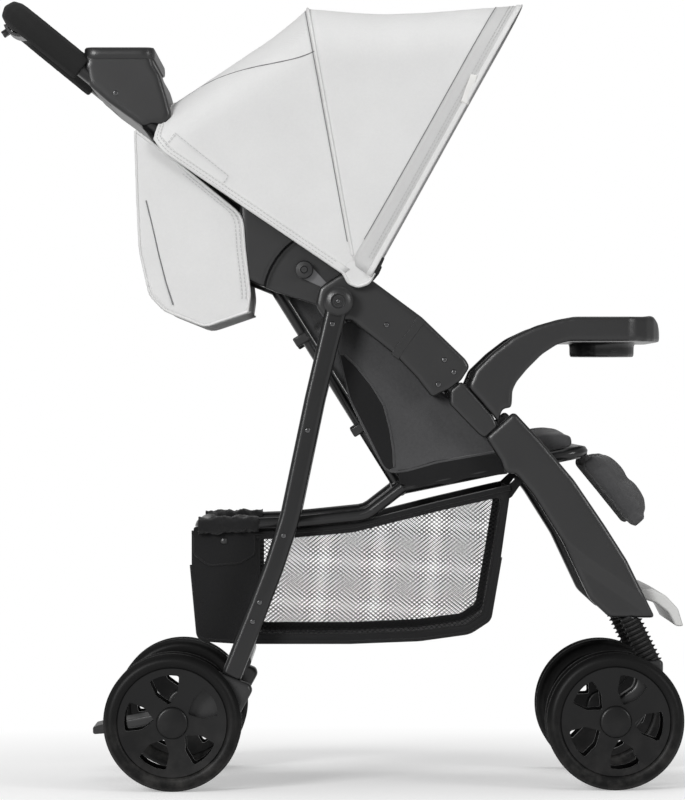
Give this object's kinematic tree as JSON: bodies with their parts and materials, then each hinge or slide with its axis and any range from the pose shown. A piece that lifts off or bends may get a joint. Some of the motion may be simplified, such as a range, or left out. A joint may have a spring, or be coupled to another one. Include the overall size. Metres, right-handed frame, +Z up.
{
  "type": "pushchair",
  "caption": "Folding pushchair with a hood, a reclining padded seat, child's and parent's trays, a net-sided basket, twin wheels and swivelling front casters.",
  "frame": {"origin": "floor under the middle of the bounding box", "axes": "+Z up, +X forwards the way the child faces, +Y to the child's left"},
  "size_m": [0.898, 0.524, 1.0279],
  "materials": {
    "paint": "satin black paint",
    "plastic": "fine-grained matte black moulding",
    "latch_steel": "bare steel",
    "foam": "soft black foam",
    "bellows_rubber": "matte black rubber",
    "tyre": "matte black tyre",
    "rim": "satin black moulding",
    "light_plastic": "light grey, slightly glossy",
    "light_cloth": "light grey woven cloth",
    "dark_cloth": "dark grey woven cloth",
    "black_cloth": "black woven cloth and net"
  },
  "bodies": {
    "frame": {"front_frame": "paint", "arm_housing_left": "plastic", "arm_housing_right": "plastic", "knee_sleeve_left": "plastic", "knee_sleeve_right": "plastic", "front_leg_cover_left": "plastic", "front_leg_cover_right": "plastic", "strut_bellows_left": "bellows_rubber", "strut_bellows_right": "bellows_rubber", "footrest_step": "light_plastic", "hub_pin_left": "plastic", "hub_pin_right": "plastic", "child_tray": "plastic", "side_panel_left": "dark_cloth", "side_panel_right": "dark_cloth", "basket": "black_cloth"},
    "handle": {"push_bar": "paint", "foam_grip": "foam", "parent_tray": "plastic", "handle_housing_left": "plastic", "handle_housing_right": "plastic", "rear_fabric": "light_cloth"},
    "release_lever": {"release_lever": "plastic"},
    "lock_latches": {"lock_latch_left": "latch_steel", "lock_latch_right": "latch_steel"},
    "canopy_mid": {"canopy_mid_bow": "paint", "canopy_rear_fabric": "light_cloth"},
    "canopy_front": {"canopy_front_bow": "paint", "canopy_front_fabric": "light_cloth"},
    "rear_legs": {"rear_leg_left": "paint", "rear_leg_right": "paint", "rear_cross_tube": "paint", "rear_wheel_housing_left": "plastic", "rear_wheel_housing_right": "plastic"},
    "basket_frame": {"basket_frame": "paint"},
    "brake": {"brake_bar": "plastic"},
    "rear_wheels_left": {"rear_rims_left": "rim", "rear_tyre_outer_left": "tyre", "rear_tyre_inner_left": "tyre"},
    "rear_wheels_right": {"rear_rims_right": "rim", "rear_tyre_outer_right": "tyre", "rear_tyre_inner_right": "tyre"},
    "caster_left": {"caster_fork_left": "plastic"},
    "caster_right": {"caster_fork_right": "plastic"},
    "front_wheels_left": {"front_rims_left": "rim", "front_tyre_outer_left": "tyre", "front_tyre_inner_left": "tyre"},
    "front_wheels_right": {"front_rims_right": "rim", "front_tyre_outer_right": "tyre", "front_tyre_inner_right": "tyre"},
    "seat": {"seat_frame": "paint", "seat_pad": "dark_cloth"},
    "recline_hinge": {"recline_tube": "paint"},
    "backrest": {"backrest_frame": "paint", "backrest_pad": "dark_cloth"},
    "leg_rest": {"leg_rest": "dark_cloth"}
  },
  "joints": [
    {"name": "fold", "type": "hinge", "parent": "frame", "child": "handle", "pos_m": [0.0006, 0, 0.6315], "axis": [0, 1, 0], "range_deg": [0, 95], "deforming": ["rear_fabric", "canopy_rear_fabric", "canopy_front_fabric", "side_panel_left", "side_panel_right", "basket"]},
    {"name": "rear_legs_fold", "type": "hinge", "parent": "frame", "child": "rear_legs", "pos_m": [0.0006, 0, 0.6315], "axis": [0, -1, 0], "range_deg": [0, 31.01]},
    {"name": "basket_frame_fold", "type": "hinge", "parent": "rear_legs", "child": "basket_frame", "pos_m": [-0.0632, 0, 0.3447], "axis": [0, -1, 0], "range_deg": [0, 37.68]},
    {"name": "seat_fold", "type": "hinge", "parent": "frame", "child": "seat", "pos_m": [0.22367, 0, 0.41781], "axis": [0, 1, 0], "range_deg": [0, 47.09]},
    {"name": "backrest_fold", "type": "hinge", "parent": "seat", "child": "recline_hinge", "pos_m": [0.0806, 0, 0.3887], "axis": [0, -1, 0], "range_deg": [0, 26.01]},
    {"name": "canopy_mid_fold", "type": "hinge", "parent": "frame", "child": "canopy_mid", "pos_m": [0.0248, 0, 0.66], "axis": [0, 1, 0], "range_deg": [0, 76.01]},
    {"name": "canopy", "type": "hinge", "parent": "canopy_mid", "child": "canopy_front", "pos_m": [0.0248, 0, 0.66], "axis": [0, 1, 0], "range_deg": [-39.9, 0], "deforming": ["canopy_front_fabric"]},
    {"name": "recline", "type": "hinge", "parent": "recline_hinge", "child": "backrest", "pos_m": [0.0806, 0, 0.3887], "axis": [0, 1, 0], "range_deg": [-48, 0], "deforming": ["side_panel_left", "side_panel_right", "rear_fabric"]},
    {"name": "leg_rest_angle", "type": "hinge", "parent": "seat", "child": "leg_rest", "pos_m": [0.31843, 0, 0.43709], "axis": [0, 1, 0], "range_deg": [-50, 0]},
    {"name": "release", "type": "hinge", "parent": "handle", "child": "release_lever", "pos_m": [-0.4216, 0, 1.007], "axis": [0, 1, 0], "range_deg": [0, 20], "stiffness_Nm_per_rad": 0.02},
    {"name": "latch", "type": "hinge", "parent": "handle", "child": "lock_latches", "pos_m": [-0.045, 0, 0.669], "axis": [0, 1, 0], "range_deg": [0, 10.01]},
    {"name": "brake_pedal", "type": "hinge", "parent": "rear_legs", "child": "brake", "pos_m": [-0.213, 0, 0.089], "axis": [0, 1, 0], "range_deg": [-18, 0]},
    {"name": "rear_spin_left", "type": "hinge", "parent": "rear_legs", "child": "rear_wheels_left", "pos_m": [-0.213, 0.22, 0.089], "axis": [0, 1, 0], "continuous": true},
    {"name": "rear_spin_right", "type": "hinge", "parent": "rear_legs", "child": "rear_wheels_right", "pos_m": [-0.213, -0.22, 0.089], "axis": [0, 1, 0], "continuous": true},
    {"name": "swivel_left", "type": "hinge", "parent": "frame", "child": "caster_left", "pos_m": [0.404, 0.192, 0.1677], "axis": [0, 0, 1], "continuous": true},
    {"name": "swivel_right", "type": "hinge", "parent": "frame", "child": "caster_right", "pos_m": [0.404, -0.192, 0.1677], "axis": [0, 0, 1], "continuous": true},
    {"name": "front_spin_left", "type": "hinge", "parent": "caster_left", "child": "front_wheels_left", "pos_m": [0.3585, 0.192, 0.089], "axis": [0, 1, 0], "continuous": true},
    {"name": "front_spin_right", "type": "hinge", "parent": "caster_right", "child": "front_wheels_right", "pos_m": [0.3585, -0.192, 0.089], "axis": [0, 1, 0], "continuous": true}
  ],
  "couplings": [
    {"joint": "rear_legs_fold", "follows": "fold", "ratio": 0.32632},
    {"joint": "basket_frame_fold", "follows": "fold", "ratio": 0.39653},
    {"joint": "seat_fold", "follows": "fold", "ratio": 0.49558},
    {"joint": "backrest_fold", "follows": "fold", "ratio": 0.27368},
    {"joint": "canopy_mid_fold", "follows": "fold", "ratio": 0.8},
    {"joint": "latch", "follows": "release", "ratio": 0.5}
  ]
}
